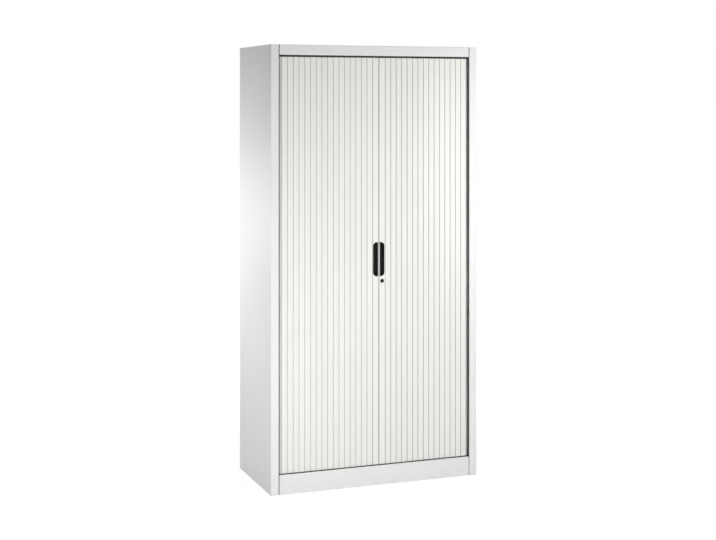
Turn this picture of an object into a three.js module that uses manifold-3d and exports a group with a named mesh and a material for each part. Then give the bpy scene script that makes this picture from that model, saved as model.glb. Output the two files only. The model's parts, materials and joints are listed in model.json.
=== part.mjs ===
// Tambour door cabinet: a tall steel cupboard closed by two slatted leaves. The leaves part in
// the middle, run in a track round the front corners and stand between sides and inner walls.
// Millimetres, +Z up, front towards -Y, origin at the middle of the base.
import * as THREE from 'three';
import { mergeVertices } from 'three/addons/utils/BufferGeometryUtils.js';
import Module from 'manifold-3d';

const wasm = await Module();
wasm.setup();

// Overall sizes
const width = 1000;
const depth = 500;
const height = 1990;
const sheet = 1;
const bendRadius = 1;
const edgeRadius = 3.5;
const postEdgeRadius = 2.5;
const clearance = 0.3;
const overrun = 3;
const samePoint = 0.01;

// Carcass
const postWidth = 37;
const postHem = 10;
const hemDepth = 5;
const rearReturn = 15;
const floorFold = 25;
const trayFlange = 20;
const headFlange = 12;
const seam = 3;
const fasciaHeight = 46;
const plinthHeight = 87;
const hiddenFold = 5;

// Tambour leaves
const slatPitch = 27;
const slatDepth = 7;
const slatRecess = 12;
const slatLift = 3;
const turnRadius = 22;
const sideRunInset = 28;
const meetingOffset = 16;
const meetingGap = 1.6;
const slatsRoundCorner = 1;

// Slat section: a flat face with a crease down its middle and round shoulders, a bead on one edge
// and a socket on the other
const faceWall = 1.1;
const shoulder = 1;
const creaseHalf = 1.2;
const creaseDepth = 0.3;
const faceGroove = 2.4;
const jointSetback = 0.7;
const beadRadius = 1.2;
const socketInner = 1.6;
const socketOuter = 2.5;
const neckThickness = 1;
const beadWebInset = 4.9;
const beadWebWall = 1.2;
const ribDepth = 2;
const socketOpens = THREE.MathUtils.degToRad(94);
const socketCloses = THREE.MathUtils.degToRad(201);

// Lead rails, one at the free edge of each leaf
const leadWidth = 31;
const leadDepth = 19;
const leadWall = 1.6;
const leadEdgeRadius = 1.2;
const leadPlug = 18;

// Track, one above the leaves and one below
const grooveWidth = 10.6;
const grooveDepth = 12;
const trackLip = 2;
const trackFloor = 3;
const topLipShow = 9;
const bottomLipShow = 3.5;
const trackRearGap = 14;
const stopLength = 6;

// Grip cups, let into the lead rails
const gripWidth = 22;
const gripHeight = 155;
const gripCentre = 1021;
const gripCorner = 18;
const gripInnerCorner = 1.5;
const gripRim = 1.5;
const gripRimDepth = 1.2;
const gripWall = 1.5;
const gripDepth = 13;

// Lock, in the right lead rail
const lockCentre = 922;
const lockHeadRadius = 9;
const lockHeadDepth = 2;
const lockBarrelRadius = 7.5;
const coreRadius = 4.5;
const coreHeadRadius = 6.5;
const coreHeadDepth = 2;
const keySlotWidth = 1.6;
const keySlotHeight = 6;
const keySlotDepth = 3;
const hookLength = 31.5;
const hookWidth = 10;
const hookThickness = 2;
const hookNoseWidth = 3;
const hookNoseReach = 6;
const hookEyeRadius = 8;
const keeperWall = 1.2;
const keeperGap = 1;
const keeperFoot = 12;
const keeperLipHeight = 9;

// Inner walls and shelves
const wallInset = 38;
const wallFrontFold = 12;
const wallSetback = 36;
const compartments = 5;
const slotsPerCompartment = 4;
const slotWidth = 5;
const slotHeight = 10;
const slotInset = 70;
const lugReach = 10;
const lugWidth = 14;
const lugTip = 1.5;
const lugRoot = 11;
const shelfSetback = 42;
const shelfFlange = 28;
const shelfHem = 12;
const shelfSideGap = 0.8;

// Levelling feet
const footInsetX = 70;
const footInsetY = 50;
const stemRadius = 5;
const stemTopDrop = 2;
const stemTravel = 15;
const threadHold = 13;
const bushRadius = 9;
const padRadius = 16;
const padHeight = 6;
const padLift = 1;
const padChamfer = 1.5;
const footSlotWidth = 2;
const footSlotDepth = 3;

// Facets
const sheetBendSteps = 3;
const arcSteps = 3;
const trackArcSteps = 4;
const roundSides = 16;
const halvings = 40;

// Levels worked out from the sizes above
const frontFace = -depth / 2;
const postEdge = width / 2 - postWidth;
const insideX = width / 2 - sheet - clearance;
const insideFront = frontFace + hemDepth + clearance;
const backPanelRear = depth / 2 - sheet - clearance;
const insideRear = backPanelRear - sheet - clearance;
const bottomMouth = plinthHeight + bottomLipShow;
const topMouth = height - fasciaHeight - topLipShow;
const floorTop = bottomMouth - grooveDepth - trackFloor - clearance;
const ceilingUnder = topMouth + grooveDepth + trackFloor + clearance;
const slatBottom = floorTop + clearance + trackFloor + clearance;
const slatTop = ceilingUnder - clearance - trackFloor - slatLift;
const slotPitch = (ceilingUnder - floorTop) / (compartments * slotsPerCompartment);
const bushHeight = stemTopDrop + stemTravel + threadHold;
const wallX = width / 2 - wallInset;
const wallFront = frontFace + wallSetback;

// The track's centre line: straight behind the front, round each corner, then along the side
const pathY = frontFace + slatRecess + slatDepth / 2;
const cornerX = width / 2 - sideRunInset - turnRadius;
const cornerY = pathY + turnRadius;
const trackRear = depth / 2 - trackRearGap;
const trackHalf = grooveWidth / 2 + trackLip;

// Finishes
const steelWhite = new THREE.MeshStandardMaterial({ color: 0xe6e7e5, roughness: 0.45, metalness: 0 });
const slatWhite = new THREE.MeshStandardMaterial({ color: 0xeeece5, roughness: 0.55, metalness: 0 });
const railWhite = new THREE.MeshStandardMaterial({ color: 0xedebe4, roughness: 0.5, metalness: 0 });
const black = new THREE.MeshStandardMaterial({ color: 0x1b1c1b, roughness: 0.5, metalness: 0 });
const trackBlack = new THREE.MeshStandardMaterial({ color: 0x262725, roughness: 0.6, metalness: 0 });
const bright = new THREE.MeshStandardMaterial({ color: 0xb9bbbc, roughness: 0.3, metalness: 1 });

const cabinet = new THREE.Group();

function add(name, geometry, material, place = {}) {
  const mesh = new THREE.Mesh(geometry, material);
  mesh.name = name;
  mesh.position.set(place.x ?? 0, place.y ?? 0, place.z ?? 0);
  mesh.rotation.z = place.turn ?? 0;
  cabinet.add(mesh);
}

// Boolean work is done on merged, position-only geometry
function solid(geometry) {
  const bare = geometry.index ? geometry.toNonIndexed() : geometry.clone();
  bare.deleteAttribute('normal');
  bare.deleteAttribute('uv');
  const merged = mergeVertices(bare);
  return new wasm.Manifold(new wasm.Mesh({
    numProp: 3,
    vertProperties: new Float32Array(merged.attributes.position.array),
    triVerts: new Uint32Array(merged.index.array),
  }));
}

function toGeometry(manifold) {
  const mesh = manifold.getMesh();
  const geometry = new THREE.BufferGeometry();
  geometry.setAttribute('position', new THREE.BufferAttribute(mesh.vertProperties, 3));
  geometry.setIndex(new THREE.BufferAttribute(mesh.triVerts, 1));
  geometry.computeVertexNormals();
  return geometry;
}

const joined = (parts) => parts.reduce((whole, part) => whole.add(part));
const cutBy = (whole, cutters) => cutters.reduce((left, cutter) => left.subtract(cutter), whole);

function block([x0, x1], [y0, y1], [z0, z1]) {
  const box = new THREE.BoxGeometry(x1 - x0, y1 - y0, z1 - z0);
  return solid(box.translate((x0 + x1) / 2, (y0 + y1) / 2, (z0 + z1) / 2));
}

const shapeOf = (points) => new THREE.Shape(points.map(([x, y]) => new THREE.Vector2(x, y)));

// An outline's corners, without the doubles where an arc meets a line
function corners(shape, steps) {
  const points = shape.getPoints(steps);
  return points.filter((point, i) => point.distanceTo(points.at(i - 1)) > samePoint);
}

// An outline in plan, raised from one height to another
function prism(shape, [z0, z1], steps = arcSteps) {
  const outline = new THREE.Shape(corners(shape, steps));
  const options = { depth: z1 - z0, bevelEnabled: false };
  return new THREE.ExtrudeGeometry(outline, options).translate(0, 0, z0);
}

// A (y, z) outline run along X
function alongX(shape, [x0, x1]) {
  const turn = new THREE.Matrix4().makeBasis(
    new THREE.Vector3(0, 1, 0), new THREE.Vector3(0, 0, 1), new THREE.Vector3(1, 0, 0));
  return prism(shape, [0, x1 - x0]).applyMatrix4(turn).translate(x0, 0, 0);
}

// An (x, z) outline sunk from its front face towards its back
function intoY(shape, [y0, y1]) {
  return prism(shape, [0, y1 - y0]).rotateX(Math.PI / 2).translate(0, y1, 0);
}

function rod(radius, [y0, y1], x, z) {
  const cylinder = new THREE.CylinderGeometry(radius, radius, y1 - y0, roundSides);
  return solid(cylinder.translate(x, (y0 + y1) / 2, z));
}

// A folded sheet: the outer face as a list of corners, the sheet on its left as it is walked. A
// corner may name a bend radius of its own.
function foldedSheet(face) {
  const middle = offsetLine(face.map(([x, y]) => new THREE.Vector2(x, y)), sheet / 2);
  const bent = [middle[0]];
  for (let i = 1; i < middle.length - 1; i += 1) {
    const back = middle[i - 1].clone().sub(middle[i]).normalize();
    const ahead = middle[i + 1].clone().sub(middle[i]).normalize();
    const half = Math.acos(THREE.MathUtils.clamp(back.dot(ahead), -1, 1)) / 2;
    const radius = face[i][2] ?? bendRadius;
    const centre = back.clone().add(ahead).normalize();
    centre.multiplyScalar(radius / Math.sin(half)).add(middle[i]);
    const start = middle[i].clone().addScaledVector(back, radius / Math.tan(half));
    const turn = Math.PI - 2 * half;
    const sense = Math.sign(ahead.cross(back));
    for (let k = 0; k <= sheetBendSteps; k += 1) {
      bent.push(start.clone().rotateAround(centre, sense * turn * (k / sheetBendSteps)));
    }
  }
  bent.push(middle[middle.length - 1]);
  const left = offsetLine(bent, sheet / 2);
  const right = offsetLine(bent, -sheet / 2);
  return new THREE.Shape([...left, ...right.reverse()]);
}

// A line moved sideways, to its left when positive, with mitred corners
function offsetLine(points, distance) {
  const normals = points.slice(1).map((point, i) => {
    const run = point.clone().sub(points[i]).normalize();
    return new THREE.Vector2(-run.y, run.x);
  });
  return points.map((point, i) => {
    const before = normals[Math.max(i - 1, 0)];
    const after = normals[Math.min(i, normals.length - 1)];
    const shift = before.clone().add(after).divideScalar(1 + before.dot(after));
    return point.clone().addScaledVector(shift, distance);
  });
}

// A tray of sheet: a flat panel with flanges turned up or down along its four edges
function tray([x0, x1], [y0, y1], faceZ, flangeEnd) {
  const upward = flangeEnd > faceZ;
  const zRange = upward ? [faceZ, flangeEnd] : [flangeEnd, faceZ];
  const hollow = upward ? [faceZ + sheet, flangeEnd + overrun] : [flangeEnd - overrun, faceZ - sheet];
  return block([x0, x1], [y0, y1], zRange)
    .subtract(block([x0 + sheet, x1 - sheet], [y0 + sheet, y1 - sheet], hollow));
}

// Side panels: face, front post with its hem, rear return and a fold along the floor
function sidePanel(side) {
  const outer = width / 2;
  const hemEnd = postEdge + postHem;
  const plan = [
    [hemEnd, frontFace + hemDepth], [postEdge, frontFace + hemDepth],
    [postEdge, frontFace, postEdgeRadius], [outer, frontFace, postEdgeRadius],
    [outer, depth / 2], [outer - rearReturn, depth / 2],
  ];
  const fold = block(
    [outer - floorFold, outer - sheet / 2], [frontFace + sheet / 2, depth / 2 - sheet / 2], [0, sheet]);
  const panel = joined([solid(prism(foldedSheet(plan), [0, height])), fold]);
  return toGeometry(side < 0 ? panel.mirror([1, 0, 0]) : panel);
}

// Top: a tray between the sides, its sheet carried forward and folded down as the fascia
function topPanel() {
  const under = height - fasciaHeight;
  const returnEnd = pathY - trackHalf - clearance;
  const section = [
    [insideFront + trayFlange, height], [frontFace, height, edgeRadius],
    [frontFace, under, edgeRadius],
    [returnEnd, under], [returnEnd, under + hiddenFold],
  ];
  const fascia = solid(alongX(foldedSheet(section), [-postEdge + seam, postEdge - seam]));
  const lid = tray([-insideX, insideX], [insideFront, insideRear], height, height - trayFlange);
  return toGeometry(lid.add(fascia));
}

function plinth() {
  const returnEnd = pathY - trackHalf - clearance;
  const section = [
    [returnEnd, plinthHeight - hiddenFold], [returnEnd, plinthHeight],
    [frontFace, plinthHeight, edgeRadius], [frontFace, 0],
    [frontFace + floorFold, 0], [frontFace + floorFold, hiddenFold],
  ];
  return alongX(foldedSheet(section), [-postEdge + seam, postEdge - seam]);
}

// Floor of the cupboard: corners notched round the posts, a threaded bush for each foot
const footPlaces = [-1, 1].flatMap((row) => [-1, 1].map((side) => ({
  side,
  row,
  x: side * (width / 2 - footInsetX),
  y: row * (depth / 2 - footInsetY),
})));

function bottomPanel() {
  const front = frontFace + sheet + clearance;
  const pan = tray([-insideX, insideX], [front, insideRear], floorTop, floorTop - trayFlange);
  const notches = [-1, 1].map((side) => {
    const reach = [side * (postEdge - seam), side * (width / 2)].sort((a, b) => a - b);
    const rise = [floorTop - trayFlange - overrun, floorTop + overrun];
    return block(reach, [frontFace, insideFront], rise);
  });
  const bushes = footPlaces.map(({ x, y }) => {
    const bush = new THREE.CylinderGeometry(bushRadius, bushRadius, bushHeight, roundSides);
    return solid(bush.rotateX(Math.PI / 2).translate(x, y, floorTop - bushHeight / 2));
  });
  const bores = footPlaces.map(({ x, y }) => {
    const radius = stemRadius + clearance;
    const bore = new THREE.CylinderGeometry(radius, radius, bushHeight + 2 * overrun, roundSides);
    return solid(bore.rotateX(Math.PI / 2).translate(x, y, floorTop - bushHeight / 2));
  });
  return toGeometry(cutBy(joined([cutBy(pan, notches), ...bushes]), bores));
}

function headPanel() {
  const pan = tray([-insideX, insideX], [insideFront, insideRear], ceilingUnder, ceilingUnder + headFlange);
  return toGeometry(pan);
}

function backPanel() {
  const rise = [sheet + clearance, height - sheet - clearance];
  return toGeometry(block([-insideX, insideX], [backPanelRear - sheet, backPanelRear], rise));
}

// Inner walls: folded at the front edge and the back, slotted, with a lug under each shelf end
const slotRows = [wallFront + slotInset, insideRear - slotInset];
const shelfTops = Array.from({ length: compartments - 1 }, (_, i) =>
  floorTop + (i + 1) * slotsPerCompartment * slotPitch);

function innerWall(side) {
  const outer = wallX + sheet;
  const plan = [
    [wallX - wallFrontFold, wallFront], [outer, wallFront],
    [outer, insideRear - sheet], [wallX + rearReturn, insideRear - sheet],
  ];
  const rise = [floorTop + clearance, ceilingUnder - clearance];
  const wall = solid(prism(foldedSheet(plan), rise));
  const slots = slotRows.flatMap((y) => {
    const count = compartments * slotsPerCompartment - 1;
    const steps = Array.from({ length: count }, (_, i) => i + 1);
    return steps.filter((step) => step % slotsPerCompartment !== 0).map((step) => {
      const z = floorTop + step * slotPitch;
      return block([wallX - overrun, wallX + overrun], [y - slotWidth / 2, y + slotWidth / 2],
        [z - slotHeight, z]);
    });
  });
  const lugs = slotRows.flatMap((y) => shelfTops.map((top) => {
    const seat = top - sheet - clearance;
    const root = wallX + sheet / 2;
    const outline = shapeOf([
      [root, seat - lugRoot], [root, seat], [wallX - lugReach, seat], [wallX - lugReach, seat - lugTip],
    ]);
    return solid(intoY(outline, [y - lugWidth / 2, y + lugWidth / 2]));
  }));
  const whole = joined([cutBy(wall, slots), ...lugs]);
  return toGeometry(side < 0 ? whole.mirror([1, 0, 0]) : whole);
}

function shelf(top) {
  const front = frontFace + shelfSetback;
  const rear = insideRear - sheet;
  const low = top - shelfFlange;
  const section = [
    [front + shelfHem, low], [front, low], [front, top], [rear, top], [rear, low], [rear - shelfHem, low],
  ].reverse();
  const half = wallX - shelfSideGap;
  return alongX(foldedSheet(section), [-half, half]);
}

// A band that follows the track between two distances outside its centre line
function trackBand(inner, outer) {
  const band = new THREE.Shape();
  const wide = turnRadius + outer;
  const tight = turnRadius + inner;
  band.moveTo(-cornerX - wide, trackRear);
  band.lineTo(-cornerX - wide, cornerY);
  band.absarc(-cornerX, cornerY, wide, Math.PI, 1.5 * Math.PI, false);
  band.lineTo(cornerX, cornerY - wide);
  band.absarc(cornerX, cornerY, wide, 1.5 * Math.PI, 2 * Math.PI, false);
  band.lineTo(cornerX + wide, trackRear);
  band.lineTo(cornerX + tight, trackRear);
  band.lineTo(cornerX + tight, cornerY);
  band.absarc(cornerX, cornerY, tight, 2 * Math.PI, 1.5 * Math.PI, true);
  band.lineTo(-cornerX, cornerY - tight);
  band.absarc(-cornerX, cornerY, tight, 1.5 * Math.PI, Math.PI, true);
  band.lineTo(-cornerX - tight, trackRear);
  return band;
}

// Track: a floor with two lips, closed by a stop at each rear end
function track([seatZ, mouthZ]) {
  const inward = Math.sign(mouthZ - seatZ);
  const span = (a, b) => [Math.min(a, b), Math.max(a, b)];
  const floorEnd = seatZ + inward * trackFloor;
  const raise = (band, zs) => solid(prism(band, zs, trackArcSteps));
  const parts = [
    raise(trackBand(-trackHalf, trackHalf), span(seatZ, floorEnd)),
    raise(trackBand(-trackHalf, -grooveWidth / 2), span(seatZ, mouthZ)),
    raise(trackBand(grooveWidth / 2, trackHalf), span(seatZ, mouthZ)),
  ];
  for (const side of [-1, 1]) {
    const middle = side * (cornerX + turnRadius);
    parts.push(block([middle - trackHalf, middle + trackHalf], [trackRear - stopLength, trackRear],
      span(seatZ, mouthZ)));
  }
  return toGeometry(joined(parts));
}

// The open half of a hinge joint: a socket round the neighbour's bead, drawn from its right side.
// Slat and rail outlines have their joints at y = 0, behind the middle of the slat's depth.
const faceY = -slatDepth / 2 - jointSetback;

function traceSocket(outline, centreX) {
  const webMeets = Math.acos(faceGroove / 2 / socketOuter);
  outline.lineTo(centreX + socketOuter, 0);
  outline.absarc(centreX, 0, socketOuter, 0, socketOpens, false);
  outline.absarc(centreX, 0, socketInner, socketOpens, socketCloses - 2 * Math.PI, true);
  outline.absarc(centreX, 0, socketOuter, socketCloses - 2 * Math.PI, -webMeets, false);
}

// One slat in plan, socket to the left, bead to the right, face towards -Y
function slatOutline() {
  const half = slatPitch / 2;
  const edge = half - faceGroove / 2;
  const shoulderBack = faceY + shoulder;
  const faceBack = faceY + faceWall;
  const webOuter = half - beadWebInset + beadWebWall;
  const webInner = half - beadWebInset;
  const neck = neckThickness / 2;
  const neckAngle = Math.asin(neck / beadRadius);
  const outline = new THREE.Shape();
  outline.moveTo(-edge, shoulderBack);
  outline.quadraticCurveTo(-edge, faceY, -edge + shoulder, faceY);
  outline.lineTo(-creaseHalf, faceY);
  outline.lineTo(0, faceY + creaseDepth);
  outline.lineTo(creaseHalf, faceY);
  outline.lineTo(edge - shoulder, faceY);
  outline.quadraticCurveTo(edge, faceY, edge, shoulderBack);
  outline.lineTo(edge, faceBack);
  outline.lineTo(webOuter, faceBack);
  outline.lineTo(webOuter, -neck);
  outline.absarc(half, 0, beadRadius, Math.PI + neckAngle, 3 * Math.PI - neckAngle, false);
  outline.lineTo(webInner, neck);
  outline.lineTo(webInner, faceBack);
  outline.lineTo(neck, faceBack);
  outline.lineTo(neck, faceBack + ribDepth);
  outline.lineTo(-neck, faceBack + ribDepth);
  outline.lineTo(-neck, faceBack);
  outline.lineTo(-half + socketOuter, faceBack);
  traceSocket(outline, -half);
  return outline;
}

const mirrored = (shape, side) => new THREE.Shape(
  corners(shape, arcSteps).map((point) => new THREE.Vector2(-side * point.x, point.y)));

// A point on the line that a leaf's joints follow, at a distance from the middle of the cupboard
const jointY = pathY + jointSetback;
const jointTurn = turnRadius - jointSetback;

function pathPoint(distance) {
  const quarter = jointTurn * Math.PI / 2;
  const past = distance - cornerX;
  if (past <= 0) return new THREE.Vector2(distance, jointY);
  if (past >= quarter) return new THREE.Vector2(cornerX + jointTurn, cornerY + past - quarter);
  const angle = past / jointTurn;
  return new THREE.Vector2(
    cornerX + jointTurn * Math.sin(angle), cornerY - jointTurn * Math.cos(angle));
}

// Where the next hinge joint lies: one slat pitch away in a straight line
function nextJoint(distance) {
  const start = pathPoint(distance);
  let near = distance;
  let far = distance + 2 * slatPitch;
  for (let i = 0; i < halvings; i += 1) {
    const middle = (near + far) / 2;
    if (pathPoint(middle).distanceTo(start) < slatPitch) near = middle;
    else far = middle;
  }
  return near;
}

function addLeafSlats(side, name) {
  const outline = mirrored(slatOutline(), side);
  let inner = leadWidth + side * meetingOffset;
  const count = Math.round((cornerX - inner) / slatPitch) + slatsRoundCorner;
  for (let number = 1; number <= count; number += 1) {
    const outer = nextJoint(inner);
    const a = pathPoint(inner);
    const b = pathPoint(outer);
    const turn = Math.atan2(b.y - a.y, b.x - a.x);
    add(`${name}_${String(number).padStart(2, '0')}`, prism(outline, [slatBottom, slatTop]), slatWhite, {
      x: side * (a.x + b.x) / 2,
      y: (a.y + b.y) / 2,
      turn: side * turn,
    });
    inner = outer;
  }
}

// Grip outline in (x, z), its straight edge towards the meeting line
function gripOutline(inset) {
  const right = gripWidth / 2 - inset;
  const left = -right;
  const top = gripHeight / 2 - inset;
  const corner = gripCorner - inset;
  const small = Math.max(gripInnerCorner - inset, clearance);
  const outline = new THREE.Shape();
  outline.moveTo(left, top - corner);
  outline.lineTo(left, corner - top);
  outline.absarc(left + corner, corner - top, corner, Math.PI, 1.5 * Math.PI, false);
  outline.lineTo(right - small, -top);
  outline.absarc(right - small, small - top, small, -Math.PI / 2, 0, false);
  outline.lineTo(right, top - small);
  outline.absarc(right - small, top - small, small, 0, Math.PI / 2, false);
  outline.lineTo(left + corner, top);
  outline.absarc(left + corner, top - corner, corner, Math.PI / 2, Math.PI, false);
  return outline;
}

const leadCentre = (side) => meetingOffset + side * leadWidth / 2;
const gripAt = (side, inset, ys) => solid(
  intoY(mirrored(gripOutline(inset), side), ys).translate(leadCentre(side), 0, gripCentre));

const leadFront = pathY - slatDepth / 2;
const leadBack = leadFront + leadDepth;

// Lead rail in plan: a box, hollow between its plugged ends, with a nosed face and a socket for
// the first hinge joint
function leadOutline() {
  const half = leadWidth / 2;
  const back = faceY + leadDepth;
  const nose = half - meetingGap / 2;
  const boxEdge = -half + socketOuter;
  const round = leadEdgeRadius;
  const outline = new THREE.Shape();
  const edge = -half + faceGroove / 2;
  outline.moveTo(edge, faceY + shoulder);
  outline.quadraticCurveTo(edge, faceY, edge + shoulder, faceY);
  outline.lineTo(nose - round, faceY);
  outline.absarc(nose - round, faceY + round, round, -Math.PI / 2, 0, false);
  outline.lineTo(nose, back);
  outline.lineTo(boxEdge, back);
  traceSocket(outline, -half);
  return outline;
}

function leadRail(side) {
  const half = leadWidth / 2;
  const rail = solid(prism(mirrored(leadOutline(), side), [slatBottom, slatTop]));
  const bore = block(
    [-half + socketOuter + leadWall, half - meetingGap / 2 - leadWall],
    [faceY + leadWall, faceY + leadDepth - leadWall],
    [slatBottom + leadPlug, slatTop - leadPlug]);
  const hollow = rail.subtract(side < 0 ? bore : bore.mirror([1, 0, 0]))
    .translate([leadCentre(side), jointY, 0]);
  const shoulders = [
    [slatBottom - overrun, bottomMouth + clearance + trackLip],
    [topMouth - clearance - trackLip, slatTop + overrun],
  ];
  const cutters = shoulders.map((zs) => block(
    [leadCentre(side) - leadWidth, leadCentre(side) + leadWidth],
    [pathY + slatDepth / 2, leadBack + overrun], zs));
  cutters.push(gripAt(side, gripRim - clearance, [leadFront - overrun, leadFront + leadWall + overrun]));
  if (side > 0) {
    cutters.push(rod(lockBarrelRadius + clearance, [leadFront - overrun, leadBack + overrun],
      leadCentre(side), lockCentre));
  }
  return toGeometry(cutBy(hollow, cutters));
}

function gripCup(side) {
  const face = leadFront - clearance - gripRimDepth;
  const rim = gripAt(side, 0, [face, leadFront - clearance]);
  const cup = gripAt(side, gripRim, [face, face + gripDepth + gripWall]);
  const hollow = gripAt(side, gripRim + gripWall, [face - overrun, face + gripDepth]);
  return toGeometry(rim.add(cup).subtract(hollow));
}

// Lock: a headed barrel through the rail, a core that turns in it and a hook on the core's tail
const lockX = leadCentre(1);
const lockFace = leadFront - clearance - lockHeadDepth;
const barrelEnd = leadBack + hookThickness;
const hookFront = barrelEnd + clearance;
const hookBack = hookFront + hookThickness;

function lockHousing() {
  const head = rod(lockHeadRadius, [lockFace, leadFront - clearance], lockX, lockCentre);
  const barrel = rod(lockBarrelRadius, [lockFace, barrelEnd], lockX, lockCentre);
  const bore = rod(coreRadius + clearance, [lockFace - overrun, barrelEnd + overrun], lockX, lockCentre);
  return toGeometry(head.add(barrel).subtract(bore));
}

function lockCore() {
  const tail = hookBack + clearance;
  const spindle = rod(coreRadius, [lockFace, tail + coreHeadDepth], lockX, lockCentre);
  const head = rod(coreHeadRadius, [tail, tail + coreHeadDepth], lockX, lockCentre);
  const slot = block([lockX - keySlotWidth / 2, lockX + keySlotWidth / 2],
    [lockFace - overrun, lockFace + keySlotDepth],
    [lockCentre - keySlotHeight / 2, lockCentre + keySlotHeight / 2]);
  return toGeometry(spindle.add(head).subtract(slot));
}

function lockHook() {
  const eye = rod(hookEyeRadius, [hookFront, hookBack], lockX, lockCentre);
  const arm = block([lockX - hookWidth / 2, lockX + hookWidth / 2], [hookFront, hookBack],
    [lockCentre, lockCentre + hookLength]);
  const nose = block([lockX - hookWidth / 2 - hookNoseReach, lockX], [hookFront, hookBack],
    [lockCentre + hookLength - hookNoseWidth, lockCentre + hookLength]);
  const eyeBore = rod(coreRadius + clearance, [hookFront - overrun, hookBack + overrun], lockX, lockCentre);
  return toGeometry(joined([eye, arm, nose]).subtract(eyeBore));
}

// Keeper on the back of the left rail: its lip stands just short of the turned-down hook nose
function lockKeeper() {
  const lipLeft = lockX - hookLength + hookNoseWidth + keeperGap;
  const lipRight = lipLeft + keeperWall;
  const base = leadBack + clearance;
  const lipTop = lockCentre - hookWidth / 2 - keeperGap;
  const rise = [lipTop - keeperLipHeight, lipTop];
  const plate = block([lipRight - keeperFoot, lipRight], [base, base + keeperWall], rise);
  const lip = block([lipLeft, lipRight], [base, hookBack + keeperGap], rise);
  return toGeometry(plate.add(lip));
}

// Levelling foot: a pad and a threaded stem, slotted at the top for a driver
function levellingFoot(place) {
  const top = floorTop - stemTopDrop;
  const profile = [
    [0, padLift], [padRadius - padChamfer, padLift], [padRadius, padLift + padChamfer],
    [padRadius, padLift + padHeight - padChamfer], [padRadius - padChamfer, padLift + padHeight],
    [stemRadius, padLift + padHeight], [stemRadius, top], [0, top],
  ].map(([r, z]) => new THREE.Vector2(r, z));
  const body = solid(new THREE.LatheGeometry(profile, roundSides).rotateX(Math.PI / 2));
  const slot = block([-stemRadius - overrun, stemRadius + overrun],
    [-footSlotWidth / 2, footSlotWidth / 2], [top - footSlotDepth, top + overrun]);
  return toGeometry(body.subtract(slot).translate([place.x, place.y, 0]));
}

add('left_side_panel', sidePanel(-1), steelWhite);
add('right_side_panel', sidePanel(1), steelWhite);
add('top_panel', topPanel(), steelWhite);
add('head_panel', headPanel(), steelWhite);
add('bottom_panel', bottomPanel(), steelWhite);
add('back_panel', backPanel(), steelWhite);
add('plinth', plinth(), steelWhite);
add('left_inner_wall', innerWall(-1), steelWhite);
add('right_inner_wall', innerWall(1), steelWhite);
shelfTops.forEach((top, i) => add(`shelf_${i + 1}`, shelf(top), steelWhite));

add('bottom_track', track([floorTop + clearance, bottomMouth]), trackBlack);
add('top_track', track([ceilingUnder - clearance, topMouth]), trackBlack);

addLeafSlats(-1, 'left_slat');
addLeafSlats(1, 'right_slat');
add('left_lead_rail', leadRail(-1), railWhite);
add('right_lead_rail', leadRail(1), railWhite);
add('left_grip_cup', gripCup(-1), black);
add('right_grip_cup', gripCup(1), black);

add('lock_housing', lockHousing(), black);
add('lock_core', lockCore(), bright);
add('lock_hook', lockHook(), bright);
add('lock_keeper', lockKeeper(), bright);

const footRows = { '-1': 'front', 1: 'rear' };
const footSides = { '-1': 'left', 1: 'right' };
for (const place of footPlaces) {
  add(`foot_${footRows[place.row]}_${footSides[place.side]}`, levellingFoot(place), bright);
}

export default cabinet;
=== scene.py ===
# %% [markdown]
# # Dressing a tambour door cabinet
# The cupboard's solids come ready-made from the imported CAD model: folded steel panels, a track,
# two leaves of hinged plastic slats, lead rails, grips, a lock and levelling feet. This notebook
# gives each of them its finish, adds the small turned and moulded pieces that read best with
# rounded edges, and sets up a plain studio. Every length is in metres, in the CAD frame.

# %% Load the frame
import json
import math

import bmesh
import bpy
from mathutils import Matrix, Vector


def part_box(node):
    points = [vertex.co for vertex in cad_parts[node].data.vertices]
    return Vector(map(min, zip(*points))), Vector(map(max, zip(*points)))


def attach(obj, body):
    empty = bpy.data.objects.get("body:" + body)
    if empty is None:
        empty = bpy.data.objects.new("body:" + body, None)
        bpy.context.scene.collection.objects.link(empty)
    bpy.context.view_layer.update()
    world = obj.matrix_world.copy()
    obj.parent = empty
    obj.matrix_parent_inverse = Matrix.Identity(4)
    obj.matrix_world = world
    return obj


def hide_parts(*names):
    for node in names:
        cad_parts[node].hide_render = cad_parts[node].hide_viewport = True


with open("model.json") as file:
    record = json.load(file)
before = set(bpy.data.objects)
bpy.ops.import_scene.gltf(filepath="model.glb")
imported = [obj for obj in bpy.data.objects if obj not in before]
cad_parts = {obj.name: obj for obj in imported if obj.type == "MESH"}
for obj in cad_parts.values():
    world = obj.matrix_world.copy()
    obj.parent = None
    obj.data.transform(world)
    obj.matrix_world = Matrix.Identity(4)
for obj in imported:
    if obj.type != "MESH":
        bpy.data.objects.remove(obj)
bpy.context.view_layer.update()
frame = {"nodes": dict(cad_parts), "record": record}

MM = 0.001
nodes = frame["nodes"]

# %% [markdown]
# ## The camera
# The photograph looks at the front from the left, with a level camera: upright edges stay
# upright. The lens is shifted down instead of tilted, as with an architect's camera. Place,
# turn and focal length come from a fit to the cupboard's corners.

# %% Camera
PICTURE_WIDTH_PX = 716
FOCAL_PX = 1384.6
HORIZON_ABOVE_CENTRE_PX = 168.6
SENSOR_WIDTH = 36.0
CAMERA_PLACE = (-2.2980, -6.0864, 1.7377)
CAMERA_TURN = math.radians(-20.722)
NEAREST, FARTHEST = 0.1, 100.0

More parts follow.
